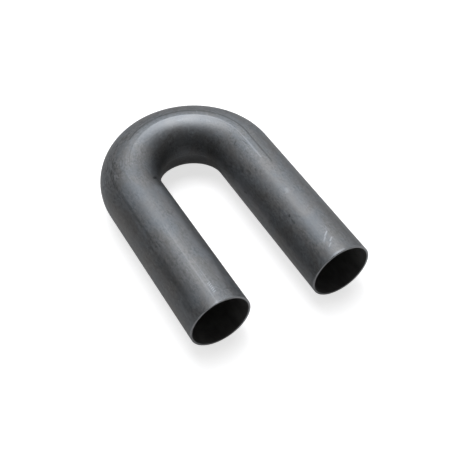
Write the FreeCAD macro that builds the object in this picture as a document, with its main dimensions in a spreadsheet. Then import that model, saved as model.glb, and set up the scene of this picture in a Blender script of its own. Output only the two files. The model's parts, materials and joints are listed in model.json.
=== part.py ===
# A mandrel bend: one length of round steel tube, turned back on itself through 180 degrees.
#
# The tube lies flat, as it rests on a bench. Its legs run towards -Y and the bend lies
# towards +Y. The origin is on the bench, under the middle of the tube's outline.
#
# The outside keeps one diameter all the way round. The mandrel keeps the bore round too,
# but the metal stretches outside the bend and crowds together inside it. So the bore's
# half circle starts a little later than the outside's: at the crown of the bend the wall
# is thinner on the outside, and thicker on the inside, by that same shift.
import FreeCAD, Part
import enum
import math
import os
import Sketcher

doc = FreeCAD.newDocument("mandrel_bend")

# Driving sizes in millimetres: alias, value, what it is
SIZES = [
    ("outside_diameter", 50.8, "Outside diameter of the tube"),
    ("wall_thickness", 1.65, "Wall of the straight tube"),
    ("bend_radius", 50.8, "Radius of the bend, to the tube's centreline"),
    ("left_leg", 138.0, "Straight length on the left, from the bend to the cut end"),
    ("right_leg", 145.0, "Straight length on the right, from the bend to the cut end"),
    ("crown_thinning", 0.4, "Wall lost outside the crown of the bend, and gained inside it"),
    ("edge_break", 0.25, "Chamfer that deburrs the edges of both cut ends"),
]

# Two places nearer than this count as one
SAME_PLACE = 0.001


class Point(enum.IntEnum):
    """Which point of a sketch's line, arc or circle a constraint holds."""

    first = 1
    last = 2
    centre = 3


class Axis(enum.IntEnum):
    """A sketch's own axes. Their first point is the sketch's origin."""

    across = -1
    upright = -2


def size_sheet():
    """The spreadsheet of driving sizes."""
    sheet = doc.addObject("Spreadsheet::Sheet", "sizes")
    for row, (alias, value, words) in enumerate(SIZES, start=1):
        sheet.set(f"A{row}", words)
        sheet.set(f"B{row}", str(value))
        sheet.setAlias(f"B{row}", alias)
    return sheet


def flat_sketch(body, name, role):
    """An empty sketch on one of the body's own origin planes."""
    sketch = body.newObject("Sketcher::SketchObject", name)
    plane = next(f for f in body.Origin.OriginFeatures if f.Role == role)
    sketch.AttachmentSupport = [(plane, "")]
    sketch.MapMode = "FlatFace"
    return sketch


def sized(sketch, constraint, name, expression):
    """Adds a constraint that takes its value from the sheet."""
    sketch.renameConstraint(sketch.addConstraint(constraint), name)
    sketch.setExpression(f"Constraints.{name}", expression)


def bent_line(body, name, centre_shift):
    """Leg, half circle, leg: the line that a section follows, its arc centred on the Y axis.

    centre_shift is how far towards +Y the arc's centre lies, as an expression.
    """
    sketch = flat_sketch(body, name, "XY_Plane")
    radius = sheet.bend_radius
    left_end = FreeCAD.Vector(-radius, -sheet.left_leg, 0)
    left_tangent = FreeCAD.Vector(-radius, 0, 0)
    right_tangent = FreeCAD.Vector(radius, 0, 0)
    right_end = FreeCAD.Vector(radius, -sheet.right_leg, 0)
    half_circle = Part.Circle(FreeCAD.Vector(0, 0, 0), FreeCAD.Vector(0, 0, 1), radius)

    left = sketch.addGeometry(Part.LineSegment(left_end, left_tangent))
    arc = sketch.addGeometry(Part.ArcOfCircle(half_circle, 0, math.pi))
    right = sketch.addGeometry(Part.LineSegment(right_tangent, right_end))

    sketch.addConstraint(Sketcher.Constraint("Tangent", left, Point.last, arc, Point.last))
    sketch.addConstraint(Sketcher.Constraint("Tangent", arc, Point.first, right, Point.first))
    sketch.addConstraint(Sketcher.Constraint("Vertical", left))
    sketch.addConstraint(Sketcher.Constraint("Vertical", right))
    on_axis = Sketcher.Constraint("PointOnObject", arc, Point.centre, Axis.upright)
    sketch.addConstraint(on_axis)

    lift = Sketcher.Constraint("DistanceY", Axis.across, Point.first, arc, Point.centre, 0.0)
    sized(sketch, lift, "centre_shift", centre_shift)
    sized(sketch, Sketcher.Constraint("Radius", arc, radius), "bend_radius", "sizes.bend_radius")
    left_drop = Sketcher.Constraint(
        "DistanceY", left, Point.first, Axis.across, Point.first, sheet.left_leg
    )
    sized(sketch, left_drop, "left_leg", "sizes.left_leg")
    right_drop = Sketcher.Constraint(
        "DistanceY", right, Point.last, Axis.across, Point.first, sheet.right_leg
    )
    sized(sketch, right_drop, "right_leg", "sizes.right_leg")
    return sketch


def round_section(body, name, diameter):
    """A circle across the end of the left leg. diameter is an expression."""
    sketch = flat_sketch(body, name, "XZ_Plane")
    # This plane faces -Y, so a positive offset carries it down the leg
    sketch.setExpression("AttachmentOffset.Base.z", "sizes.left_leg")
    centre = FreeCAD.Vector(-sheet.bend_radius, 0, 0)
    radius = sheet.outside_diameter / 2
    circle = sketch.addGeometry(Part.Circle(centre, FreeCAD.Vector(0, 0, 1), radius))
    level = Sketcher.Constraint("PointOnObject", circle, Point.centre, Axis.across)
    sketch.addConstraint(level)
    reach = Sketcher.Constraint(
        "DistanceX", circle, Point.centre, Axis.across, Point.first, sheet.bend_radius
    )
    sized(sketch, reach, "bend_radius", "sizes.bend_radius")
    sized(sketch, Sketcher.Constraint("Diameter", circle, 2 * radius), "diameter", diameter)
    return sketch


def swept(body, kind, name, section, path):
    """A section carried along a bent line, kept square to it."""
    pipe = body.newObject(kind, name)
    pipe.Profile = section
    pipe.Spine = (path, ["Edge1", "Edge2", "Edge3"])
    pipe.Mode = "Standard"
    pipe.Transition = "Transformed"
    doc.recompute()
    return pipe


def cut_end_edges(shape):
    """Names of the round edges, inside and outside, of the two cut ends."""
    ends = (-sheet.left_leg, -sheet.right_leg)
    names = []
    for number, edge in enumerate(shape.Edges, start=1):
        box = edge.BoundBox
        flat = box.YLength < SAME_PLACE
        if flat and any(abs(box.Center.y - end) < SAME_PLACE for end in ends):
            names.append(f"Edge{number}")
    return names


def bend_tube():
    """The bent tube: outside swept first, bore swept out of it, cut ends deburred."""
    body = doc.addObject("PartDesign::Body", "BendTube")
    body.Label = "bend_tube"

    outside_line = bent_line(body, "outside_line", "0 mm")
    bore_line = bent_line(body, "bore_line", "sizes.crown_thinning")
    outside_section = round_section(body, "outside_section", "sizes.outside_diameter")
    bore_section = round_section(
        body, "bore_section", "sizes.outside_diameter - 2 * sizes.wall_thickness"
    )
    doc.recompute()

    swept(body, "PartDesign::AdditivePipe", "outside", outside_section, outside_line)
    bore = swept(body, "PartDesign::SubtractivePipe", "bore", bore_section, bore_line)

    deburr = body.newObject("PartDesign::Chamfer", "deburred_ends")
    deburr.Base = (bore, cut_end_edges(bore.Shape))
    deburr.setExpression("Size", "sizes.edge_break")
    body.Tip = deburr

    # The origin lies under the middle of the outline, and the tube rests on the bench
    longer_leg = "max(sizes.left_leg; sizes.right_leg)"
    crown = "(sizes.bend_radius + sizes.outside_diameter / 2)"
    body.setExpression("Placement.Base.y", f"({longer_leg} - {crown}) / 2")
    body.setExpression("Placement.Base.z", "sizes.outside_diameter / 2")
    doc.recompute()
    return body


def expected_volume():
    """Volume of the two sweeps' difference, less the rings that the chamfers take off."""
    outer = sheet.outside_diameter / 2
    inner = outer - sheet.wall_thickness
    line = sheet.left_leg + sheet.right_leg + math.pi * sheet.bend_radius
    bore_line = line + 2 * sheet.crown_thinning
    tube = math.pi * (outer**2 * line - inner**2 * bore_line)
    corner = sheet.edge_break**2 / 2
    third = sheet.edge_break / 3
    rings = 2 * math.pi * corner * ((outer - third) + (inner + third))
    return tube - 2 * rings


def check(body):
    """Stops the script if any object failed or the tube isn't what its sizes say."""
    failed = [o.Name for o in doc.Objects if {"Invalid", "Error"} & set(o.State)]
    if failed:
        raise RuntimeError(f"failed objects: {failed}")
    shape = body.Shape
    if shape.isNull() or not shape.isValid() or len(shape.Solids) != 1:
        raise RuntimeError(f"{body.Label} isn't one valid solid")
    if abs(shape.Volume / expected_volume() - 1) > 0.001:
        raise RuntimeError(f"{body.Label}: volume {shape.Volume}, expected {expected_volume()}")
    print(body.Label, shape.BoundBox, f"volume {shape.Volume:.1f} mm3")


sheet = size_sheet()
doc.recompute()
tube = bend_tube()
check(tube)

os.makedirs("parts", exist_ok=True)
tube.Shape.exportStep(f"parts/{tube.Label}.step")
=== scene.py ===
"""A mandrel bend tube in dark mill-finish steel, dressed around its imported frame.

The tube lies flat on a white bench. Its skin is one closed mesh, swept along the same line
as the frame's solid: outside, cut ends and bore. Each of its points keeps the place that it
would have if the tube were pulled straight, in millimetres, and the materials are drawn on
that straight tube.
"""
import json
import math

import bmesh
import bpy
import numpy as np
from mathutils import Matrix, Vector


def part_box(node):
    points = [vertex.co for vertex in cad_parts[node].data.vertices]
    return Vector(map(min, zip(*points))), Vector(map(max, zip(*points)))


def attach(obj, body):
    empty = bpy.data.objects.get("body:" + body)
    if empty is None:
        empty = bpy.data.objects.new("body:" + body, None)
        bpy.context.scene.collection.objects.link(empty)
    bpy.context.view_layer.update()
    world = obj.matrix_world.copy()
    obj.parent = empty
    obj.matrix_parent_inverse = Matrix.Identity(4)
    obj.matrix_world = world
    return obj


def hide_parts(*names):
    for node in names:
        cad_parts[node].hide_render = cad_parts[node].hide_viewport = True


bl_info = {
    "name": "Mandrel Bend Tube",
    "version": (1, 0, 0),
    "blender": (4, 5, 0),
    "location": "3D View > Sidebar > Bend Tube",
    "description": "Dresses a bent steel tube's frame and sets its photo stage",
    "category": "Add Mesh",
}

NODE = "bend_tube"
BODY = "root"
STRAIGHT = "straight_mm"
BAKE_MAP = "OFBake"
MM = 0.001
# The skin's parts, which are also the numbers of their materials
OUTSIDE, CUT_END, BORE = 0, 1, 2
# Edges that turn by more than this, in degrees, stay sharp
SHARP_EDGE = 24
# Tones that the outside's colour goes towards where it is rubbed, where shade is painted inside
# the bend, where it is scratched or painted lighter, and where it is pitted or painted darker
POLISHED_TONE = (0.25, 0.25, 0.25)
INNER_BEND_SHADE_TONE = (0.03, 0.03, 0.03)
SCRATCH_AND_LIGHT_TONE = (0.36, 0.37, 0.39)
PIT_AND_SHADE_TONE = (0.022, 0.022, 0.022)
BORE_METAL = 0.2
WHITE = (1.0, 1.0, 1.0)
# Where the camera stands, in metres, and the directions to its right and behind it
CAMERA_PLACE = (-0.216348, -0.417814, 0.558645)
CAMERA_RIGHT = (0.86583, -0.49993, -0.02010)
CAMERA_BACK = (-0.30777, -0.56384, 0.76639)
BENCH_RADIUS = 6.0
# Distances from the tube's middle between which the bench runs out into the white room
BENCH_FADE = (0.35, 1.6)
LIGHT_DISTANCE = 2.2
# Soft boxes: name, azimuth and elevation in degrees, width and height in metres, strength
SOFT_BOXES = (
    ("key_high", 15.0, 74.0, 1.30, 1.30, 4.65),
    ("key_middle", 10.0, 55.0, 1.20, 1.10, 1.0),
    ("key_right", 28.0, 60.0, 1.10, 1.10, 1.15),
    ("key_low", 18.0, 45.0, 1.20, 1.00, 1.2),
    ("right_box", 54.0, 40.0, 1.50, 1.40, 1.55),
    ("right_low", 65.0, 27.0, 1.60, 1.00, 0.85),
    ("right_strip", 55.0, 12.0, 1.80, 0.70, 0.25),
    ("back_strip", 20.0, 10.0, 1.80, 0.70, 0.62),
    ("back_left_strip", 345.0, 10.0, 1.80, 0.70, 0.45),
    ("left_box", 320.0, 48.0, 1.30, 1.30, 1.02),
)

# Marks that bending and handling left on the outside, and a few strokes of painted light and
# shade. Each is a straight stroke on the tube rolled out flat: distance along in millimetres and
# angle round in degrees, from and to, then half width and soft edge in millimetres, and strength.
PALE_STROKES = (
    # Lines drawn along the left leg, and the short ticks of its clamp
    (2.0, 85.4, 34.0, 85.6, 0.15, 0.5, 0.09),
    (30.0, 85.8, 84.0, 86.0, 0.15, 0.6, 0.07),
    (20.0, 94.0, 44.0, 93.8, 0.15, 0.5, 0.08),
    *((9.4 + 1.75 * tick, 90.4, 10.2 + 1.75 * tick, 95.0, 0.14, 0.3, 0.36) for tick in range(6)),
    # The rubbed line along the bend die's edge
    (205.0, 94.2, 312.0, 94.2, 0.30, 0.7, 0.09),
    (300.0, 94.0, 328.0, 94.4, 0.30, 0.7, 0.16),
    # Painted light: broad bands along the legs' inner sides, painted a little brighter where these
    # sides catch more light
    (22.0, 126.5, 122.0, 127.0, 1.5, 6.5, 0.15),
    (328.0, 160.0, 372.0, 160.0, 1.5, 6.0, 0.13),
    # A rubbed spot and a scuffed place near the right end, and metal rubbed at both rims
    (368.8, 97.4, 371.0, 98.2, 0.4, 2.4, 0.12),
    (421.0, 91.0, 423.4, 98.5, 0.20, 0.6, 0.28),
    (424.6, 100.0, 427.0, 106.5, 0.20, 0.6, 0.22),
    (427.6, 91.5, 429.6, 97.5, 0.18, 0.6, 0.24),
    (431.6, 99.5, 433.4, 105.0, 0.18, 0.6, 0.20),
    (441.2, 88.0, 441.2, 108.0, 0.25, 0.8, 0.14),
    (0.6, 83.5, 2.0, 86.0, 0.30, 0.5, 0.16),
)
DARK_STROKES = (
    # Long streaks of thicker oxide on the outer side of the left leg
    (20.0, 47.5, 62.0, 48.5, 0.8, 2.2, 0.22),
    (44.0, 43.0, 60.0, 44.0, 1.2, 3.0, 0.20),
    (72.0, 54.0, 155.0, 55.0, 0.35, 1.5, 0.30),
    (9.0, 41.0, 17.0, 40.0, 1.5, 3.0, 0.20),
    # The clamp's edge near the left end, and painted shade in the crease that the wiper die's tip
    # left where the bend starts
    (8.8, 109.0, 9.2, 137.0, 0.20, 0.7, 0.28),
    (135.9, 129.0, 137.4, 138.0, 0.60, 0.7, 0.85),
    (136.6, 132.0, 138.4, 138.0, 0.90, 0.7, 0.80),
    (131.0, 138.5, 136.5, 139.0, 0.5, 1.2, 0.35),
    # A thin line where the pressure die's side ran, outside the bend die's edge
    (184.0, 81.0, 337.0, 82.6, 0.35, 0.7, 0.44),
    # Painted shade: broad darker places low on the inner sides and along the bend's underside,
    # near where the tube meets the bench
    (396.0, 182.0, 432.0, 184.0, 2.0, 5.0, 0.24),
    (152.0, 163.0, 172.0, 166.0, 2.0, 5.0, 0.24),
    (180.0, -168.0, 300.0, -168.0, 3.0, 5.0, 0.35),
    # Small dents and pits about the end of the bend and on the right leg
    (310.5, 98.2, 304.5, 100.5, 0.22, 0.5, 0.32),
    (304.5, 100.5, 302.3, 104.0, 0.22, 0.5, 0.28),
    (300.8, 112.0, 302.6, 118.5, 0.30, 0.6, 0.42),
    (302.6, 118.5, 304.5, 116.0, 0.22, 0.5, 0.30),
    (325.0, 135.5, 326.4, 136.5, 1.0, 1.8, 0.42),
    (335.5, 117.0, 337.0, 118.0, 0.35, 0.6, 0.42),
    (331.0, 129.5, 335.0, 130.5, 0.6, 1.2, 0.28),
    (340.0, 165.0, 342.5, 162.5, 0.4, 0.8, 0.40),
    (333.0, 180.5, 336.0, 183.0, 1.6, 1.2, 0.45),
    (390.2, 123.6, 391.0, 124.4, 0.55, 0.6, 0.65),
    (394.5, 125.6, 398.6, 125.0, 0.35, 0.6, 0.45),
)
# Runs of the skin's points round the tube, in degrees: from, to and step. They are closer where
# the bend die's edges ran, above and below.
AROUND_RUNS = ((-86, 86, 2.4), (86, 100, 0.6), (100, 260, 2.4), (260, 274, 0.6))

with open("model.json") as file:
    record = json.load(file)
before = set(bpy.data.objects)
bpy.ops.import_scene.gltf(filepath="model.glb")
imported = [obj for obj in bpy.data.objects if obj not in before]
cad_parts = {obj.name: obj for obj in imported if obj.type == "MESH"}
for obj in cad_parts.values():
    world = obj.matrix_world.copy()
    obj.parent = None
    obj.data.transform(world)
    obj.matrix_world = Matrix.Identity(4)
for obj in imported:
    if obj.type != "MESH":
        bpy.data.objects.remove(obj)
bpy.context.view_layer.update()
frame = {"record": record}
tube_low, tube_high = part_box(NODE)
mounts = {mount["name"]: mount for mount in frame["record"]["mounts"]}
OUTER_RADIUS = mounts["left_outside"]["dims"]["r_mm"] * MM
BORE_RADIUS = mounts["left_bore"]["dims"]["r_mm"] * MM
BEND_RADIUS = mounts["right_outside"]["pos_m"][0]
BEND_CENTRE_Y = tube_high.y - BEND_RADIUS - OUTER_RADIUS
LEFT_LEG = BEND_CENTRE_Y - mounts["left_end_face"]["pos_m"][1]
RIGHT_LEG = BEND_CENTRE_Y - mounts["right_end_face"]["pos_m"][1]


class BendTubeSizes(bpy.types.PropertyGroup):
    """Sizes of the tube's skin and of the marks that bending left on it."""

    crown_thinning: bpy.props.FloatProperty(
        name="Crown thinning",
        description="Wall lost outside the crown of the bend, and gained inside it",
        default=0.4 * MM, min=0.0, max=1.5 * MM, precision=5, unit="LENGTH",
    )
    edge_break: bpy.props.FloatProperty(
        name="Edge break",
        description="Size of the deburred edges of both cut ends",
        default=0.25 * MM, min=0.05 * MM, max=0.6 * MM, precision=5, unit="LENGTH",
    )
    die_sink: bpy.props.FloatProperty(
        name="Die sink",
        description="How far the bend die pressed the inner half of the bend in",
        default=0.22 * MM, min=0.0, max=1.0 * MM, precision=5, unit="LENGTH",
    )
    die_edge: bpy.props.FloatProperty(
        name="Die edge",
        description="Angle of the bend die's edge, round the tube from the outside of the bend",
        default=math.radians(93.0), min=math.radians(80.0), max=math.radians(110.0),
        unit="ROTATION",
    )
    die_straight: bpy.props.FloatProperty(
        name="Die straight",
        description="How far the bend die held the right leg beyond the bend",
        default=31.0 * MM, min=0.0, max=80.0 * MM, precision=5, unit="LENGTH",
    )
    wiper_depth: bpy.props.FloatProperty(
        name="Wiper mark",
        description="Depth of the crease that the wiper die left at the start of the bend",
        default=0.22 * MM, min=0.0, max=0.6 * MM, precision=5, unit="LENGTH",
    )
    wave: bpy.props.FloatProperty(
        name="Waviness",
        description="How far the bend's surface wanders from a true round",
        default=0.10 * MM, min=0.0, max=0.4 * MM, precision=5, unit="LENGTH",
    )


class BendTubeFinish(bpy.types.PropertyGroup):
    """Colours and surface values of the steel."""

    steel: bpy.props.FloatVectorProperty(
        name="Mill steel", description="Colour of the bare outside",
        subtype="COLOR", size=3, min=0.0, max=1.0, default=(0.119, 0.125, 0.131),
    )
    brown_oxide: bpy.props.FloatVectorProperty(
        name="Brown oxide", description="Colour of the outside where the oxide is thicker",
        subtype="COLOR", size=3, min=0.0, max=1.0, default=(0.128, 0.124, 0.120),
    )
    cut_steel: bpy.props.FloatVectorProperty(
        name="Cut steel", description="Colour of the sawn and deburred ends",
        subtype="COLOR", size=3, min=0.0, max=1.0, default=(0.26, 0.265, 0.27),
    )
    bore_steel: bpy.props.FloatVectorProperty(
        name="Bore steel", description="Colour of the scale inside the bore",
        subtype="COLOR", size=3, min=0.0, max=1.0, default=(0.110, 0.107, 0.105),
    )
    outside_roughness: bpy.props.FloatProperty(
        name="Outside roughness", description="Roughness of the straight legs",
        subtype="FACTOR", min=0.0, max=1.0, default=0.50,
    )
    steel_metal: bpy.props.FloatProperty(
        name="Bare metal share",
        description="How much of the outside shines as metal and not as oxide",
        subtype="FACTOR", min=0.0, max=1.0, default=0.85,
    )
    polished_roughness: bpy.props.FloatProperty(
        name="Polished roughness", description="Roughness where the bend die rubbed the tube",
        subtype="FACTOR", min=0.0, max=1.0, default=0.42,
    )


class BendTubeStage(bpy.types.PropertyGroup):
    """The floor, the light and the camera."""

    lens: bpy.props.FloatProperty(
        name="Lens", description="Focal length of the camera",
        default=69.724, min=20.0, max=200.0, unit="CAMERA",
    )
    floor: bpy.props.FloatVectorProperty(
        name="Floor", description="Colour of the bench", subtype="COLOR",
        size=3, min=0.0, max=1.0, default=(0.64, 0.62, 0.60),
    )
    bench_glow: bpy.props.FloatProperty(
        name="Bench glow", description="White added to the bench where the camera sees it",
        default=0.70, min=0.0, max=1.0,
    )
    steel_glow: bpy.props.FloatProperty(
        name="Bench glow in the steel",
        description="White added to the bench where the steel mirrors it",
        default=0.13, min=0.0, max=1.0,
    )
    room: bpy.props.FloatProperty(
        name="Room light", description="Strength of the light from all round",
        default=0.10, min=0.0, max=1.0,
    )
    room_in_steel: bpy.props.FloatProperty(
        name="Room in the steel", description="White added to the room where the steel mirrors it",
        default=0.05, min=0.0, max=1.0,
    )
    boxes: bpy.props.FloatProperty(
        name="Soft boxes", description="Strength of all the soft boxes together",
        default=1.02, min=0.0, max=4.0,
    )
    box_colour: bpy.props.FloatVectorProperty(
        name="Soft box colour", description="A slightly cool white", subtype="COLOR",
        size=3, min=0.0, max=2.0, default=(0.955, 1.0, 1.06),
    )


def smooth(low, high, value):
    """0 below low, 1 above high, and a smooth rise between them."""
    t = np.clip((np.asarray(value, float) - low) / (high - low), 0.0, 1.0)
    return t * t * (3.0 - 2.0 * t)


# The line of the tube, from the left cut end round the bend to the right one


def line_length():
    """Length of the tube's centreline, in metres."""
    return LEFT_LEG + math.pi * BEND_RADIUS + RIGHT_LEG


def turn_at(along):
    """Angle of the bend along the line: a half turn on the left leg, 0 on the right one."""
    return math.pi - np.clip((along - LEFT_LEG) / BEND_RADIUS, 0.0, math.pi)


def points_on(along, around, radius, outward_shift=0.0):
    """Points of the skin, for arrays of distance along the line, angle round it and radius.

    The angle is 0 on the outside of the bend, a quarter turn on top and a half turn inside.
    """
    turn = turn_at(along)
    left_over = np.minimum(along - LEFT_LEG, 0.0)
    right_over = np.maximum(along - LEFT_LEG - math.pi * BEND_RADIUS, 0.0)
    reach = BEND_RADIUS + outward_shift + radius * np.cos(around)
    x = reach * np.cos(turn)
    y = BEND_CENTRE_Y + reach * np.sin(turn) + left_over - right_over
    z = OUTER_RADIUS + radius * np.sin(around)
    return np.stack(np.broadcast_arrays(x, y, z), axis=-1)


def spread(stops):
    """Rising values from a list of (from, to, step): closely spaced where the detail is."""
    runs = []
    for start, end, step in stops:
        count = max(1, round((end - start) / step))
        runs.append(np.linspace(start, end, count, endpoint=False))
    return np.concatenate(runs)


def angles_round():
    """Angles of the skin's points round the tube, in radians."""
    return np.radians(spread(AROUND_RUNS))


def stations(sizes):
    """Distances of the outside's rings along the line, closer at the die's marks."""
    left_tangent = LEFT_LEG
    right_tangent = LEFT_LEG + math.pi * BEND_RADIUS
    die_end = right_tangent + sizes.die_straight
    end = line_length() - sizes.edge_break
    return np.append(
        spread([
            (sizes.edge_break, left_tangent - 6 * MM, 2.4 * MM),
            (left_tangent - 6 * MM, left_tangent + 4 * MM, 0.5 * MM),
            (left_tangent + 4 * MM, right_tangent, 1.5 * MM),
            (right_tangent, die_end - 3 * MM, 2.0 * MM),
            (die_end - 3 * MM, die_end + 3 * MM, 0.6 * MM),
            (die_end + 3 * MM, end, 2.4 * MM),
        ]),
        end,
    )


# Marks and small departures from a true round. Each gives a depth below the true surface.


def inner_angle(around):
    """Angle from the outside of the bend, counted alike above and below the tube's middle."""
    return np.abs((around + math.pi) % (2 * math.pi) - math.pi)


def die_sink(sizes, along, around):
    """The inner half of the bend, pressed in by the bend die as far as its edge."""
    right_tangent = LEFT_LEG + math.pi * BEND_RADIUS
    die_end = right_tangent + sizes.die_straight
    across = smooth(sizes.die_edge - 0.014, sizes.die_edge + 0.016, inner_angle(around))
    # The wall springs back to its own curve deeper inside the die
    sprung = smooth(math.radians(100), math.radians(170), inner_angle(around))
    across = across * (1.0 - 0.55 * sprung)
    lengthwise = smooth(LEFT_LEG - 2 * MM, LEFT_LEG + 22 * MM, along)
    lengthwise = lengthwise * (1.0 - smooth(die_end - 3 * MM, die_end + 1 * MM, along))
    eased = 1.0 - 0.7 * smooth(right_tangent - 15 * MM, right_tangent + 20 * MM, along)
    return sizes.die_sink * across * lengthwise * eased


def wiper_mark(sizes, along, around):
    """The crease across the inside of the tube where the wiper die's tip ended."""
    reach = smooth(math.radians(122), math.radians(150), inner_angle(around))
    across = np.exp(-(((along - LEFT_LEG) / (0.9 * MM)) ** 2))
    lip = 0.5 * np.exp(-(((along - LEFT_LEG - 2.6 * MM) / (1.6 * MM)) ** 2))
    return sizes.wiper_depth * reach * (across + lip)


def waves(sizes, along, around):
    """Slow waves, stronger in the bend, where the metal stretched and crowded."""
    turn = along / OUTER_RADIUS
    total = (
        np.sin(1.9 * turn + 2 * around + 0.4)
        + 0.8 * np.sin(2.7 * turn - 3 * around + 1.9)
        + 0.6 * np.sin(4.3 * turn + 4 * around + 4.1)
        + 0.4 * np.sin(6.1 * turn - 5 * around + 2.2)
    )
    right_tangent = line_length() - RIGHT_LEG
    in_bend = smooth(LEFT_LEG - 25 * MM, LEFT_LEG + 25 * MM, along) * (
        1.0 - smooth(right_tangent - 25 * MM, right_tangent + 25 * MM, along)
    )
    away_from_ends = smooth(0.0, 12 * MM, along) * smooth(0.0, 12 * MM, line_length() - along)
    strength = sizes.wave * (0.35 + 0.65 * in_bend) * away_from_ends
    # The four extremes of the section stay true, so the tube keeps its measured size
    true_places = 1.0 - 0.9 * np.cos(2 * around) ** 8
    return strength * true_places * (0.5 + 0.178 * total)


def nicks(along, around):
    """A few shallow dents from handling: distance along, angle round, radius, depth."""
    places = (
        (31.0, 118.0, 2.2, 0.10),
        (74.0, 41.0, 3.0, 0.12),
        (112.0, 152.0, 1.8, 0.09),
        (171.0, 66.0, 2.0, 0.08),
        (246.0, 131.0, 2.4, 0.10),
        (331.0, 124.0, 1.5, 0.14),
        (352.0, 36.0, 2.6, 0.10),
        (395.0, 125.0, 1.4, 0.12),
        (418.0, 68.0, 2.0, 0.09),
        (96.0, -62.0, 3.2, 0.14),
        (377.0, -48.0, 2.8, 0.12),
        (221.0, -118.0, 2.5, 0.10),
    )
    depth = 0.0
    for at, angle, radius, deep in places:
        gap = (around - math.radians(angle) + math.pi) % (2 * math.pi) - math.pi
        far = ((along - at * MM) ** 2 + (OUTER_RADIUS * gap) ** 2) / (radius * MM) ** 2
        depth = depth + deep * MM * np.exp(-far)
    return depth


def outside_points(sizes, along, around):
    """The outside of the tube as rows of points, one row for each station."""
    along, around = along[:, None], around[None, :]
    depth = (
        die_sink(sizes, along, around)
        + wiper_mark(sizes, along, around)
        + waves(sizes, along, around)
        + nicks(along, around)
    )
    return points_on(along, around, OUTER_RADIUS - depth)


def bore_points(sizes, along, around):
    """The bore as rows of points. Its line runs a little further out at the crown of the bend."""
    along, around = along[:, None], around[None, :]
    shift = sizes.crown_thinning * np.sin(turn_at(along))
    return points_on(along, around, BORE_RADIUS, shift)


def cut_edge(sizes, around, seed):
    """Size of a deburred edge round a cut end. A file takes off a little more in places."""
    uneven = 0.6 * np.sin(3 * around + seed) + 0.4 * np.sin(7 * around + 2.3 * seed)
    return sizes.edge_break * (0.86 + 0.14 * uneven)


def end_rows(sizes, around, at_left):
    """The rows of points across a cut end, from the outside to the bore, and their line places."""
    end = 0.0 if at_left else line_length()
    inward = 1.0 if at_left else -1.0
    seed = 0.7 if at_left else 3.1
    outer_break = cut_edge(sizes, around, seed)
    inner_break = cut_edge(sizes, around, seed + 1.9)
    middle = (OUTER_RADIUS + BORE_RADIUS) / 2
    rows = []
    for depth, radius in (
        (0.45 * outer_break, OUTER_RADIUS - 0.30 * outer_break),
        (0.0 * around, OUTER_RADIUS - outer_break),
        (0.0 * around, middle + 0.0 * around),
        (0.0 * around, BORE_RADIUS + inner_break),
        (0.45 * inner_break, BORE_RADIUS + 0.30 * inner_break),
    ):
        along = end + inward * depth
        rows.append((along, radius))
    return rows


def skin_rows(sizes):
    """Every row of the closed skin: its points, its places on the straight tube and its part.

    The rows go out along the outside from left to right and come back through the bore. A
    row's part is that of the band of faces that follows it.
    """
    around = angles_round()
    out = stations(sizes)
    back = np.append(spread([(sizes.edge_break, line_length() - sizes.edge_break, 5 * MM)]),
                     line_length() - sizes.edge_break)[::-1]
    rows = []

    def add(points, along, radius, part):
        along = np.broadcast_to(along, around.shape)
        radius = np.broadcast_to(radius, around.shape)
        straight = np.stack(
            [along, radius * np.cos(around), radius * np.sin(around)], axis=-1
        )
        rows.append((points, straight / MM, part))

    for along, points in zip(out, outside_points(sizes, out, around)):
        add(points, along, OUTER_RADIUS, OUTSIDE)
    rows[-1] = rows[-1][:2] + (CUT_END,)
    for along, radius in end_rows(sizes, around, at_left=False):
        add(points_on(along, around, radius), along, radius, CUT_END)
    for along, points in zip(back, bore_points(sizes, back, around)):
        add(points, along, BORE_RADIUS, BORE)
    rows[-1] = rows[-1][:2] + (CUT_END,)
    for along, radius in reversed(end_rows(sizes, around, at_left=True)):
        add(points_on(along, around, radius), along, radius, CUT_END)
    return around, rows


def build_skin(sizes):
    """The tube's skin as one closed mesh object."""
    around, rows = skin_rows(sizes)
    row_count, column_count = len(rows), len(around)
    points = np.concatenate([row[0] for row in rows])
    straight = np.concatenate([row[1] for row in rows])

    faces, parts = [], []
    for row in range(row_count):
        next_row = (row + 1) % row_count
        for column in range(column_count):
            next_column = (column + 1) % column_count
            faces.append((
                row * column_count + column,
                next_row * column_count + column,
                next_row * column_count + next_column,
                row * column_count + next_column,
            ))
            parts.append(rows[row][2])

    mesh = bpy.data.meshes.new("mandrel_bend_skin")
    mesh.from_pydata(points.tolist(), [], faces)
    mesh.polygons.foreach_set("material_index", parts)
    places = mesh.attributes.new(STRAIGHT, "FLOAT_VECTOR", "POINT")
    places.data.foreach_set("vector", straight.ravel())
    lay_bake_map(mesh, rows, around)
    mesh.shade_smooth()
    mesh.set_sharp_from_angle(angle=math.radians(SHARP_EDGE))
    mesh.update()

    skin = bpy.data.objects.new("mandrel_bend_skin", mesh)
    bpy.context.scene.collection.objects.link(skin)
    return skin


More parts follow.
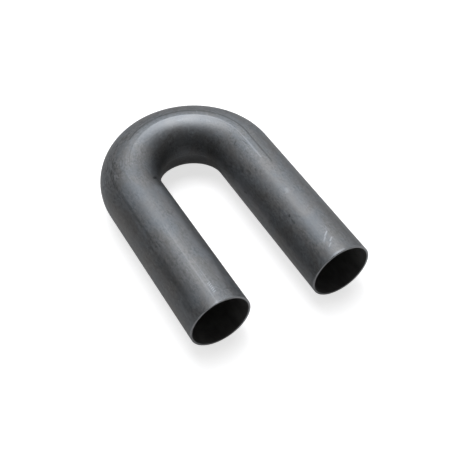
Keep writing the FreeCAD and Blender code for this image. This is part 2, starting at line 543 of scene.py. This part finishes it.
def lay_bake_map(mesh, rows, around):
    """A flat map of the skin for baking: wide strips for the outside and the bore, with the
    seam underneath, and a narrow strip for each cut end."""
    column_count = len(around)
    ends = [index for index, row in enumerate(rows) if row[2] == CUT_END]
    right_end = [index for index in ends if index < ends[-1] - len(ends) // 2]
    strips = {OUTSIDE: (0.010, 0.500), BORE: (0.510, 0.940)}
    length = line_length() / MM
    turn = np.append((around - around[0]) / (2 * math.pi), 1.0)

    def place(row, column, along, part):
        if part != CUT_END:
            low, high = strips[part]
            return 0.005 + 0.99 * along / length, low + (high - low) * turn[column]
        at_right = row in right_end
        start = right_end[0] if at_right else ends[len(right_end)]
        low = 0.948 if at_right else 0.974
        return 0.005 + 0.99 * turn[column], low + 0.0035 * (row - start)

    uv = []
    for row, (_, straight, part) in enumerate(rows):
        next_straight = rows[(row + 1) % len(rows)][1]
        for column in range(column_count):
            near, far = straight[column, 0], next_straight[column, 0]
            uv += [
                place(row, column, near, part),
                place(row + 1, column, far, part),
                place(row + 1, column + 1, far, part),
                place(row, column + 1, near, part),
            ]
    layer = mesh.uv_layers.new(name=BAKE_MAP)
    layer.uv.foreach_set("vector", np.array(uv, np.float32).ravel())


# Shader nodes


class Nodes:
    """Adds nodes to one tree and joins them."""

    def __init__(self, tree):
        self.tree = tree
        self.column = 0

    def add(self, kind, inputs=None, **settings):
        """A node of that kind. inputs are values, or sockets to join, by name or number."""
        node = self.tree.nodes.new(kind)
        for name, value in settings.items():
            setattr(node, name, value)
        for key, value in (inputs or {}).items():
            socket = node.inputs[key]
            if isinstance(value, bpy.types.NodeSocket):
                self.tree.links.new(value, socket)
            else:
                socket.default_value = value
        node.location = (self.column % 12 * 190, -(self.column // 12) * 260)
        self.column += 1
        return node

    def math(self, operation, first, second=0.0, third=0.0, clamp=False):
        """The result of one sum."""
        inputs = {0: first, 1: second, 2: third}
        return self.add("ShaderNodeMath", inputs, operation=operation, use_clamp=clamp).outputs[0]

    def vector(self, operation, first, second=None, third=None, scale=None):
        """What one sum of vectors puts out."""
        inputs = {0: first}
        if second is not None:
            inputs[1] = second
        if third is not None:
            inputs[2] = third
        if scale is not None:
            inputs["Scale"] = scale
        return self.add("ShaderNodeVectorMath", inputs, operation=operation).outputs

    def rise(self, value, low, high, start=0.0, end=1.0):
        """start below low, end above high, and a smooth change between them."""
        inputs = {
            "Value": value, "From Min": low, "From Max": high, "To Min": start, "To Max": end,
        }
        node = self.add("ShaderNodeMapRange", inputs, interpolation_type="SMOOTHSTEP")
        return node.outputs["Result"]

    def band(self, value, middle, half_width, soft):
        """1 within half_width of middle, and 0 beyond it by soft."""
        gap = self.math("ABSOLUTE", self.math("SUBTRACT", value, middle))
        return self.rise(gap, half_width, half_width + soft, 1.0, 0.0)

    def all_of(self, first, *rest):
        """Several masks multiplied together."""
        for mask in rest:
            first = self.math("MULTIPLY", first, mask)
        return first

    def mix(self, mask, first, second, blend="MIX"):
        """first where the mask is 0 and second where it is 1, as colours."""
        inputs = {0: mask, 6: first, 7: second}
        node = self.add("ShaderNodeMix", inputs, data_type="RGBA", blend_type=blend)
        return node.outputs[2]

    def blend(self, mask, first, second):
        """first where the mask is 0 and second where it is 1, as numbers."""
        inputs = {0: mask, 2: first, 3: second}
        return self.add("ShaderNodeMix", inputs, data_type="FLOAT").outputs[0]

    def noise(self, place, scale, detail=2.0, roughness=0.5, distortion=0.0):
        """Smooth noise, about 0.5 on the whole."""
        inputs = {
            "Vector": place, "Scale": scale, "Detail": detail,
            "Roughness": roughness, "Distortion": distortion,
        }
        return self.add("ShaderNodeTexNoise", inputs).outputs[0]

    def stretched(self, place, x, y, z):
        """The place, with each of its axes scaled."""
        return self.vector("MULTIPLY", place, (x, y, z))[0]

    def toned(self, base, tone):
        """A colour made lighter or darker by a number. 1 leaves it as it is."""
        grey = self.add("ShaderNodeCombineColor", {0: tone, 1: tone, 2: tone}).outputs[0]
        return self.mix(1.0, base, grey, "MULTIPLY")

    def bump(self, height):
        """A normal made from a height in millimetres."""
        inputs = {"Strength": 1.0, "Distance": MM, "Height": height}
        return self.add("ShaderNodeBump", inputs).outputs[0]


def colour(values):
    """A colour with full alpha."""
    return (*values, 1.0)


def new_group(name, inputs, outputs):
    """An empty shader node group with its sockets: (name, kind, default) in, (name, kind) out."""
    tree = bpy.data.node_groups.new(name, "ShaderNodeTree")
    for title, kind, default in inputs:
        socket = tree.interface.new_socket(name=title, in_out="INPUT", socket_type=kind)
        if default is not None:
            socket.default_value = default
    for title, kind in outputs:
        tree.interface.new_socket(name=title, in_out="OUTPUT", socket_type=kind)
    nodes = Nodes(tree)
    start = nodes.add("NodeGroupInput")
    end = nodes.add("NodeGroupOutput")
    end.location = (2600, 0)
    return tree, nodes, start.outputs, end.inputs


def use_group(nodes, tree, inputs):
    """A group placed in a material, with its own values."""
    return nodes.add("ShaderNodeGroup", inputs, node_tree=tree).outputs


FLOAT, VECTOR = "NodeSocketFloat", "NodeSocketVector"


def tube_place_group():
    """Where a point lies: along the tube, round it towards the inside, and from a cut end."""
    tree, nodes, given, result = new_group(
        "Tube Place",
        [("Straight Place", VECTOR, None), ("Length", FLOAT, 400.0), ("Radius", FLOAT, 25.0)],
        [("Along", FLOAT), ("Inward", FLOAT), ("From End", FLOAT), ("Rolled Place", VECTOR)],
    )
    parts = nodes.add("ShaderNodeSeparateXYZ", {0: given["Straight Place"]}).outputs
    turn = nodes.math("ARCTAN2", parts["Z"], parts["Y"])
    degrees = nodes.math("MULTIPLY", turn, math.degrees(1.0))
    rolled = nodes.add("ShaderNodeCombineXYZ", {
        "X": parts["X"], "Y": nodes.math("MULTIPLY", turn, given["Radius"]), "Z": 0.0,
    }).outputs[0]
    other_end = nodes.math("SUBTRACT", given["Length"], parts["X"])
    links = tree.links
    links.new(parts["X"], result["Along"])
    links.new(nodes.math("ABSOLUTE", degrees), result["Inward"])
    links.new(nodes.math("MINIMUM", parts["X"], other_end), result["From End"])
    links.new(rolled, result["Rolled Place"])
    return tree


def stroke_group():
    """One straight mark on the tube rolled out flat."""
    tree, nodes, given, result = new_group(
        "Stroke",
        [
            ("Rolled Place", VECTOR, None), ("From", VECTOR, None), ("To", VECTOR, None),
            ("Half Width", FLOAT, 0.4), ("Edge", FLOAT, 1.0),
        ],
        [("Mark", FLOAT)],
    )
    run = nodes.vector("SUBTRACT", given["To"], given["From"])[0]
    gap = nodes.vector("SUBTRACT", given["Rolled Place"], given["From"])[0]
    along_run = nodes.vector("DOT_PRODUCT", gap, run)["Value"]
    squared = nodes.vector("DOT_PRODUCT", run, run)["Value"]
    share = nodes.math("DIVIDE", along_run, nodes.math("MAXIMUM", squared, 0.001), clamp=True)
    nearest = nodes.vector("SCALE", run, scale=share)[0]
    far = nodes.vector("DISTANCE", gap, nearest)["Value"]
    tree.links.new(nodes.rise(far, given["Half Width"], given["Edge"], 1.0, 0.0), result["Mark"])
    return tree


def drawn_grain_group():
    """Fine lines along the tube, as drawing and rolling leave them."""
    tree, nodes, given, result = new_group(
        "Drawn Grain",
        [("Straight Place", VECTOR, None), ("Fineness", FLOAT, 2.0), ("Run", FLOAT, 0.03)],
        [("Lines", FLOAT), ("Broad Lines", FLOAT)],
    )
    parts = nodes.add("ShaderNodeSeparateXYZ", {0: given["Straight Place"]}).outputs
    run = nodes.math("MULTIPLY", parts["X"], given["Run"])
    across = nodes.math("MULTIPLY", parts["Y"], given["Fineness"])
    upward = nodes.math("MULTIPLY", parts["Z"], given["Fineness"])
    place = nodes.add("ShaderNodeCombineXYZ", {"X": run, "Y": across, "Z": upward}).outputs[0]
    fine = nodes.noise(place, 1.0, detail=3.0, roughness=0.6)
    broad = nodes.noise(place, 0.22, detail=2.0, roughness=0.5)
    tree.links.new(fine, result["Lines"])
    tree.links.new(broad, result["Broad Lines"])
    return tree


def mill_mottle_group():
    """Soft clouds of thinner and thicker oxide, and a fine grain over them."""
    tree, nodes, given, result = new_group(
        "Mill Mottle",
        [("Straight Place", VECTOR, None), ("Cloud Size", FLOAT, 14.0)],
        [("Clouds", FLOAT), ("Grain", FLOAT)],
    )
    scale = nodes.math("DIVIDE", 1.0, given["Cloud Size"])
    place = nodes.stretched(given["Straight Place"], 0.6, 1.0, 1.0)
    clouds = nodes.noise(place, scale, detail=4.0, roughness=0.62, distortion=0.4)
    drawn = nodes.stretched(given["Straight Place"], 0.55, 1.0, 1.0)
    grain = nodes.noise(drawn, 0.60, detail=2.0, roughness=0.7)
    # The grain is strong in some patches and faint in others
    patches = nodes.noise(given["Straight Place"], 0.09, detail=2.0, roughness=0.5)
    patchy = nodes.math("SUBTRACT", nodes.rise(grain, 0.28, 0.72), 0.5)
    patchy = nodes.math("MULTIPLY", patchy, nodes.rise(patches, 0.35, 0.65, 0.35, 1.0))
    tree.links.new(nodes.rise(clouds, 0.3, 0.7), result["Clouds"])
    tree.links.new(nodes.math("ADD", patchy, 0.5), result["Grain"])
    return tree


def dark_specks_group():
    """Small dark pits, scattered thinly."""
    tree, nodes, given, result = new_group(
        "Dark Specks",
        [("Straight Place", VECTOR, None), ("Spacing", FLOAT, 5.0), ("Share", FLOAT, 0.2)],
        [("Specks", FLOAT)],
    )
    scale = nodes.math("DIVIDE", 1.0, given["Spacing"])
    inputs = {"Vector": given["Straight Place"], "Scale": scale, "Randomness": 1.0}
    cells = nodes.add("ShaderNodeTexVoronoi", inputs, feature="F1")
    chance = nodes.add("ShaderNodeSeparateColor", {0: cells.outputs["Color"]}).outputs
    radius = nodes.math("MULTIPLY_ADD", chance[1], 0.07, 0.035)
    spot = nodes.math("SUBTRACT", 1.0, nodes.math("DIVIDE", cells.outputs["Distance"], radius))
    chosen = nodes.math("LESS_THAN", chance[0], given["Share"])
    tree.links.new(nodes.all_of(nodes.rise(spot, 0.0, 0.6), chosen), result["Specks"])
    return tree


def handling_scratches_group():
    """Thin, nearly straight scratches in patches. Lean turns them across the tube."""
    tree, nodes, given, result = new_group(
        "Handling Scratches",
        [
            ("Rolled Place", VECTOR, None), ("Lean", FLOAT, 0.2),
            ("Closeness", FLOAT, 0.5), ("Shift", FLOAT, 0.0),
        ],
        [("Scratches", FLOAT)],
    )
    parts = nodes.add("ShaderNodeSeparateXYZ", {0: given["Rolled Place"]}).outputs
    cosine = nodes.math("COSINE", given["Lean"])
    sine = nodes.math("SINE", given["Lean"])
    lengthwise = nodes.math(
        "ADD",
        nodes.math("MULTIPLY", parts["X"], cosine), nodes.math("MULTIPLY", parts["Y"], sine),
    )
    sideways = nodes.math(
        "SUBTRACT",
        nodes.math("MULTIPLY", parts["Y"], cosine), nodes.math("MULTIPLY", parts["X"], sine),
    )
    place = nodes.add("ShaderNodeCombineXYZ", {
        "X": nodes.math("MULTIPLY", lengthwise, 0.05),
        "Y": nodes.math("MULTIPLY", sideways, given["Closeness"]),
        "Z": given["Shift"],
    }).outputs[0]
    lines = nodes.noise(place, 1.0, detail=1.0, roughness=0.4)
    thin = nodes.band(lines, 0.5, 0.002, 0.010)
    patches = nodes.noise(nodes.stretched(place, 1.0, 0.35, 1.0), 1.4, detail=1.0)
    tree.links.new(nodes.all_of(thin, nodes.rise(patches, 0.55, 0.68)), result["Scratches"])
    return tree


def end_wear_group():
    """Rubbed metal beside a cut end, ragged where it fades."""
    tree, nodes, given, result = new_group(
        "End Wear",
        [("Straight Place", VECTOR, None), ("From End", FLOAT, 0.0), ("Width", FLOAT, 3.0)],
        [("Wear", FLOAT)],
    )
    ragged = nodes.noise(given["Straight Place"], 0.45, detail=3.0, roughness=0.65)
    reach = nodes.math("MULTIPLY", given["Width"], nodes.math("MULTIPLY", ragged, 2.0))
    share = nodes.math("DIVIDE", given["From End"], reach)
    tree.links.new(nodes.rise(share, 0.1, 1.0, 1.0, 0.0), result["Wear"])
    return tree


def new_material(name):
    """A material with its Principled BSDF and the straight place of each point."""
    material = bpy.data.materials.new(name)
    material.use_nodes = True
    tree = material.node_tree
    tree.nodes.clear()
    nodes = Nodes(tree)
    shader = nodes.add("ShaderNodeBsdfPrincipled")
    output = nodes.add("ShaderNodeOutputMaterial", {"Surface": shader.outputs[0]})
    shader.location, output.location = (2600, 0), (2900, 0)
    place = nodes.add(
        "ShaderNodeAttribute", attribute_name=STRAIGHT, attribute_type="GEOMETRY"
    ).outputs["Vector"]
    return material, nodes, shader, place


def strokes(nodes, group, rolled, marks):
    """All the strokes of a list as one mask."""
    mask = 0.0
    for start, start_angle, end, end_angle, half_width, soft, strength in marks:
        round_mm = math.radians(1.0) * OUTER_RADIUS / MM
        mark = use_group(nodes, group, {
            "Rolled Place": rolled,
            "From": (start, start_angle * round_mm, 0.0),
            "To": (end, end_angle * round_mm, 0.0),
            "Half Width": half_width,
            "Edge": half_width + soft,
        })["Mark"]
        mask = nodes.math("MAXIMUM", nodes.math("MULTIPLY", mark, strength), mask)
    return mask


def outside_steel(finish, sizes, groups):
    """The bare outside: dark oxide, drawn lines, the die's polish, the marks of handling, and
    painted light and shade.
    """
    material, nodes, shader, place = new_material("mill_steel")
    left_tangent = LEFT_LEG / MM
    right_tangent = (LEFT_LEG + math.pi * BEND_RADIUS) / MM
    die_end = right_tangent + sizes.die_straight / MM
    die_edge = math.degrees(sizes.die_edge)
    where = use_group(nodes, groups["place"], {
        "Straight Place": place, "Length": line_length() / MM, "Radius": OUTER_RADIUS / MM,
    })
    along, inward = where["Along"], where["Inward"]
    grain = use_group(nodes, groups["grain"], {
        "Straight Place": place, "Fineness": 1.6, "Run": 0.03,
    })
    mottle = use_group(nodes, groups["mottle"], {"Straight Place": place, "Cloud Size": 15.0})
    specks = use_group(nodes, groups["specks"], {
        "Straight Place": place, "Spacing": 6.0, "Share": 0.25,
    })["Specks"]
    long_scratches = use_group(nodes, groups["scratches"], {
        "Rolled Place": where["Rolled Place"], "Lean": 0.05, "Closeness": 0.6, "Shift": 3.7,
    })["Scratches"]
    cross_scratches = use_group(nodes, groups["scratches"], {
        "Rolled Place": where["Rolled Place"], "Lean": 1.1, "Closeness": 0.4, "Shift": 9.1,
    })["Scratches"]
    wear = use_group(nodes, groups["wear"], {
        "Straight Place": place, "From End": where["From End"], "Width": 2.0,
    })["Wear"]
    # The strokes' place wanders a little, so that their edges are uneven
    shaken = {"Vector": place, "Scale": 0.7, "Detail": 2.0}
    uneven = nodes.add("ShaderNodeTexNoise", shaken).outputs["Color"]
    wander = nodes.vector("MULTIPLY_ADD", uneven, (0.6, 0.6, 0.0), third=(-0.3, -0.3, 0.0))[0]
    rolled = nodes.vector("ADD", where["Rolled Place"], wander)[0]
    pale = strokes(nodes, groups["stroke"], rolled, PALE_STROKES)
    dark = strokes(nodes, groups["stroke"], rolled, DARK_STROKES)

    # Where the die rubbed: the inner half of the bend, and on along the right leg
    in_die = nodes.all_of(
        nodes.rise(inward, die_edge - 0.6, die_edge + 0.8),
        nodes.rise(along, left_tangent + 15.0, left_tangent + 85.0),
        nodes.rise(along, right_tangent - 60.0, right_tangent + 12.0, 1.0, 0.0),
    )
    in_bend = nodes.all_of(
        nodes.rise(along, left_tangent - 8.0, left_tangent + 18.0),
        nodes.rise(along, right_tangent - 18.0, right_tangent + 8.0, 1.0, 0.0),
    )
    stretched = nodes.all_of(in_bend, nodes.rise(inward, 60.0, 88.0, 1.0, 0.0))

    # Painted shade: the inside of the bend, which faces the legs and the shaded bench between
    # them, is darkened in its colour
    inner_bend_shade = nodes.all_of(in_bend, nodes.rise(inward, 126.0, 150.0))
    polished = nodes.math("MULTIPLY", in_die, nodes.rise(inward, 118.0, 140.0, 1.0, 0.0))

    base = nodes.mix(mottle["Clouds"], colour(finish.brown_oxide), colour(finish.steel))
    tone = nodes.math("MULTIPLY_ADD", mottle["Clouds"], 0.16, 0.92)
    # The stretched outside of the bend is grainier
    grain_depth = nodes.math("MULTIPLY_ADD", stretched, 0.45, 0.60)
    centred = nodes.math("SUBTRACT", mottle["Grain"], 0.5)
    tone = nodes.math("MULTIPLY", tone, nodes.math("MULTIPLY_ADD", centred, grain_depth, 1.0))
    for pattern, depth in ((grain["Lines"], 0.22), (grain["Broad Lines"], 0.24)):
        lines = nodes.math("MULTIPLY_ADD", pattern, depth, 1.0 - depth / 2)
        tone = nodes.math("MULTIPLY", tone, lines)
    surface = nodes.toned(base, tone)
    surface = nodes.mix(nodes.math("MULTIPLY", polished, 0.30), surface, colour(POLISHED_TONE))
    # Painted shade inside the bend, mixed into the colour
    surface = nodes.mix(nodes.math("MULTIPLY", inner_bend_shade, 0.20), surface, colour(INNER_BEND_SHADE_TONE))
    scratches = nodes.math("MAXIMUM", long_scratches, cross_scratches)
    # Scratches and pale marks, together with the strokes of painted light on the legs' inner sides
    scratched_or_lit = nodes.math("MAXIMUM", nodes.math("MULTIPLY", scratches, 0.18), pale)
    surface = nodes.mix(scratched_or_lit, surface, colour(SCRATCH_AND_LIGHT_TONE))
    # Pits and dark marks, together with the strokes of painted shade low on the inner sides and in
    # the wiper crease
    pitted_or_shaded = nodes.math("MAXIMUM", nodes.math("MULTIPLY", specks, 0.55), dark)
    surface = nodes.mix(pitted_or_shaded, surface, colour(PIT_AND_SHADE_TONE))
    surface = nodes.mix(nodes.math("MULTIPLY", wear, 0.30), surface, colour(finish.cut_steel))
    nodes.tree.links.new(surface, shader.inputs["Base Color"])

    rough = nodes.blend(polished, finish.outside_roughness, finish.polished_roughness)
    rough = nodes.math("ADD", rough, nodes.math("MULTIPLY", stretched, 0.04))
    rough = nodes.math("ADD", rough, nodes.math("MULTIPLY_ADD", mottle["Clouds"], 0.08, -0.04))
    rough = nodes.math("ADD", rough, nodes.math("MULTIPLY_ADD", mottle["Grain"], 0.14, -0.07))
    rough = nodes.math("ADD", rough, nodes.math("MULTIPLY_ADD", grain["Lines"], 0.10, -0.05))
    rough = nodes.math("SUBTRACT", rough, nodes.math("MULTIPLY", scratched_or_lit, 0.15), clamp=True)
    nodes.tree.links.new(rough, shader.inputs["Roughness"])

    peel = nodes.noise(place, 0.9, detail=2.0, roughness=0.5)
    height = nodes.math("MULTIPLY", peel, nodes.math("MULTIPLY_ADD", stretched, 0.010, 0.006))
    height = nodes.math("ADD", height, nodes.math("MULTIPLY", grain["Lines"], 0.004))
    height = nodes.math("SUBTRACT", height, nodes.math("MULTIPLY", scratches, 0.006))
    height = nodes.math("SUBTRACT", height, nodes.math("MULTIPLY", specks, 0.04))
    nodes.tree.links.new(nodes.bump(height), shader.inputs["Normal"])
    shader.inputs["Metallic"].default_value = finish.steel_metal
    return material


def cut_steel(finish, groups):
    """The sawn ends and their filed edges: brighter metal with fine parallel saw lines."""
    material, nodes, shader, place = new_material("cut_steel")
    sawn = nodes.noise(nodes.stretched(place, 0.0, 0.9, 7.0), 1.0, detail=2.0, roughness=0.6)
    mottle = use_group(nodes, groups["mottle"], {"Straight Place": place, "Cloud Size": 5.0})
    tone = nodes.math("MULTIPLY_ADD", sawn, 0.7, 0.62)
    tone = nodes.math("MULTIPLY", tone, nodes.math("MULTIPLY_ADD", mottle["Clouds"], 0.30, 0.82))
    surface = nodes.toned(colour(finish.cut_steel), tone)
    nodes.tree.links.new(surface, shader.inputs["Base Color"])
    rough = nodes.math("MULTIPLY_ADD", mottle["Clouds"], 0.12, 0.34)
    nodes.tree.links.new(rough, shader.inputs["Roughness"])
    height = nodes.math("MULTIPLY", sawn, 0.03)
    nodes.tree.links.new(nodes.bump(height), shader.inputs["Normal"])
    shader.inputs["Metallic"].default_value = 1.0
    return material


def bore_steel(finish, groups):
    """The bore: dark scale with lines that the mandrel drew along it."""
    material, nodes, shader, place = new_material("bore_scale")
    grain = use_group(nodes, groups["grain"], {
        "Straight Place": place, "Fineness": 1.5, "Run": 0.02,
    })
    mottle = use_group(nodes, groups["mottle"], {"Straight Place": place, "Cloud Size": 9.0})
    tone = nodes.math("MULTIPLY_ADD", grain["Lines"], 0.5, 0.75)
    tone = nodes.math("MULTIPLY", tone, nodes.math("MULTIPLY_ADD", mottle["Clouds"], 0.5, 0.75))
    surface = nodes.toned(colour(finish.bore_steel), tone)
    nodes.tree.links.new(surface, shader.inputs["Base Color"])
    rough = nodes.math("MULTIPLY_ADD", mottle["Clouds"], 0.15, 0.55)
    nodes.tree.links.new(rough, shader.inputs["Roughness"])
    height = nodes.math("MULTIPLY", grain["Lines"], 0.02)
    nodes.tree.links.new(nodes.bump(height), shader.inputs["Normal"])
    shader.inputs["Metallic"].default_value = BORE_METAL
    return material


def seen_glow(nodes, by_camera, in_steel):
    """Brightness that a place adds: one amount to the camera, another mirrored in the steel."""
    path = nodes.add("ShaderNodeLightPath").outputs
    mirrored = nodes.math("MAXIMUM", path["Is Glossy Ray"], path["Is Transmission Ray"])
    to_camera = nodes.math("MULTIPLY", path["Is Camera Ray"], by_camera)
    return nodes.math("ADD", to_camera, nodes.math("MULTIPLY", mirrored, in_steel))


def white_bench(stage):
    """A pale bench, lifted to white for the camera and less in the steel. It keeps the shadow."""
    material = bpy.data.materials.new("white_bench")
    material.use_nodes = True
    tree = material.node_tree
    tree.nodes.clear()
    nodes = Nodes(tree)
    # Far from the tube, where no lamp reaches, the bench runs out into the white room
    position = nodes.add("ShaderNodeNewGeometry").outputs["Position"]
    away = nodes.vector("LENGTH", position)["Value"]
    by_camera = nodes.rise(away, *BENCH_FADE, stage.bench_glow, 1.0)
    glowing = seen_glow(nodes, by_camera, stage.steel_glow)
    paint = nodes.add("ShaderNodeBsdfDiffuse", {"Color": colour(stage.floor)})
    glow = nodes.add("ShaderNodeEmission", {"Color": colour(WHITE), "Strength": glowing})
    both = nodes.add("ShaderNodeAddShader", {0: paint.outputs[0], 1: glow.outputs[0]})
    nodes.add("ShaderNodeOutputMaterial", {"Surface": both.outputs[0]})
    return material


def soft_box(name, azimuth, elevation, width, height, strength, tint):
    """An area light that faces the tube from afar. A strength of 1 shows as white in a mirror.

    Azimuth 0 is behind the tube, towards +Y, and 90 degrees is on its right.
    """
    light = bpy.data.lights.new(name, "AREA")
    light.shape = "RECTANGLE"
    light.size, light.size_y = width, height
    light.energy = strength * math.pi * width * height
    light.color = tint
    lamp = bpy.data.objects.new(name, light)
    aside, above = math.radians(azimuth), math.radians(elevation)
    lamp.location = LIGHT_DISTANCE * Vector((
        math.sin(aside) * math.cos(above), math.cos(aside) * math.cos(above), math.sin(above),
    ))
    lamp.rotation_mode = "QUATERNION"
    lamp.rotation_quaternion = (-lamp.location).to_track_quat("-Z", "Y")
    bpy.context.scene.collection.objects.link(lamp)


def lay_floor(stage):
    """A round bench, wide enough to fill the view from any side."""
    mesh = bpy.data.meshes.new("bench")
    shape = bmesh.new()
    bmesh.ops.create_circle(shape, cap_ends=True, segments=96, radius=BENCH_RADIUS)
    shape.to_mesh(mesh)
    shape.free()
    bench = bpy.data.objects.new("bench", mesh)
    bench.data.materials.append(white_bench(stage))
    bpy.context.scene.collection.objects.link(bench)


def light_room(stage):
    """An even room and the soft boxes: the main one is high behind the tube."""
    world = bpy.data.worlds.new("studio_room")
    world.use_nodes = True
    world.node_tree.nodes.clear()
    nodes = Nodes(world.node_tree)
    seen = seen_glow(nodes, 1.0 - stage.room, stage.room_in_steel)
    background = nodes.add("ShaderNodeBackground", {
        "Color": colour(WHITE), "Strength": nodes.math("ADD", seen, stage.room),
    })
    nodes.add("ShaderNodeOutputWorld", {"Surface": background.outputs[0]})
    bpy.context.scene.world = world
    for name, azimuth, elevation, width, height, strength in SOFT_BOXES:
        soft_box(
            name, azimuth, elevation, width, height, strength * stage.boxes, stage.box_colour
        )


def set_camera(stage):
    """The camera, where the photograph's stood: high, in front and to the left."""
    camera = bpy.data.objects.new("camera", bpy.data.cameras.new("camera"))
    camera.data.sensor_width = 36.0
    camera.data.lens = stage.lens
    camera.data.clip_start, camera.data.clip_end = 0.01, 50.0
    right, back = Vector(CAMERA_RIGHT).normalized(), Vector(CAMERA_BACK).normalized()
    up = back.cross(right).normalized()
    turned = Matrix((right, up, back)).transposed().to_4x4()
    camera.matrix_world = Matrix.Translation(CAMERA_PLACE) @ turned
    bpy.context.scene.collection.objects.link(camera)
    bpy.context.scene.camera = camera


class BENDTUBE_OT_tube(bpy.types.Operator):
    """Builds the tube's skin and its steel around the frame's solid"""

    bl_idname = "bend_tube.tube"
    bl_label = "Bent tube"

    def execute(self, context):
        sizes, finish = context.scene.bend_tube_sizes, context.scene.bend_tube_finish
        groups = {
            "place": tube_place_group(),
            "stroke": stroke_group(),
            "grain": drawn_grain_group(),
            "mottle": mill_mottle_group(),
            "specks": dark_specks_group(),
            "scratches": handling_scratches_group(),
            "wear": end_wear_group(),
        }
        skin = build_skin(sizes)
        skin.data.materials.append(outside_steel(finish, sizes, groups))
        skin.data.materials.append(cut_steel(finish, groups))
        skin.data.materials.append(bore_steel(finish, groups))
        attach(skin, BODY)
        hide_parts(NODE)
        return {"FINISHED"}


class BENDTUBE_OT_stage(bpy.types.Operator):
    """Lays the bench, lights it and sets the camera"""

    bl_idname = "bend_tube.stage"
    bl_label = "Photo stage"

    def execute(self, context):
        stage = context.scene.bend_tube_stage
        lay_floor(stage)
        light_room(stage)
        set_camera(stage)
        context.scene.view_settings.view_transform = "Standard"
        return {"FINISHED"}


class BENDTUBE_PT_panel(bpy.types.Panel):
    """Sizes, finish and stage of the bent tube"""

    bl_label = "Bend Tube"
    bl_idname = "BENDTUBE_PT_panel"
    bl_space_type = "VIEW_3D"
    bl_region_type = "UI"
    bl_category = "Bend Tube"

    def draw(self, context):
        layout = self.layout
        for group in ("bend_tube_sizes", "bend_tube_finish", "bend_tube_stage"):
            settings = getattr(context.scene, group)
            box = layout.box()
            for name in settings.bl_rna.properties.keys():
                if name not in ("rna_type", "name"):
                    box.prop(settings, name)
        layout.operator(BENDTUBE_OT_tube.bl_idname)
        layout.operator(BENDTUBE_OT_stage.bl_idname)


CLASSES = (
    BendTubeSizes, BendTubeFinish, BendTubeStage,
    BENDTUBE_OT_tube, BENDTUBE_OT_stage, BENDTUBE_PT_panel,
)


def register():
    """Adds the tube's settings, operators and panel to Blender."""
    for kind in CLASSES:
        bpy.utils.register_class(kind)
    scene = bpy.types.Scene
    scene.bend_tube_sizes = bpy.props.PointerProperty(type=BendTubeSizes)
    scene.bend_tube_finish = bpy.props.PointerProperty(type=BendTubeFinish)
    scene.bend_tube_stage = bpy.props.PointerProperty(type=BendTubeStage)


def unregister():
    """Takes them away again."""
    scene = bpy.types.Scene
    del scene.bend_tube_sizes, scene.bend_tube_finish, scene.bend_tube_stage
    for kind in reversed(CLASSES):
        bpy.utils.unregister_class(kind)


def main():
    """Builds everything in order."""
    register()
    bpy.ops.bend_tube.tube()
    bpy.ops.bend_tube.stage()


if __name__ == "__main__":
    main()
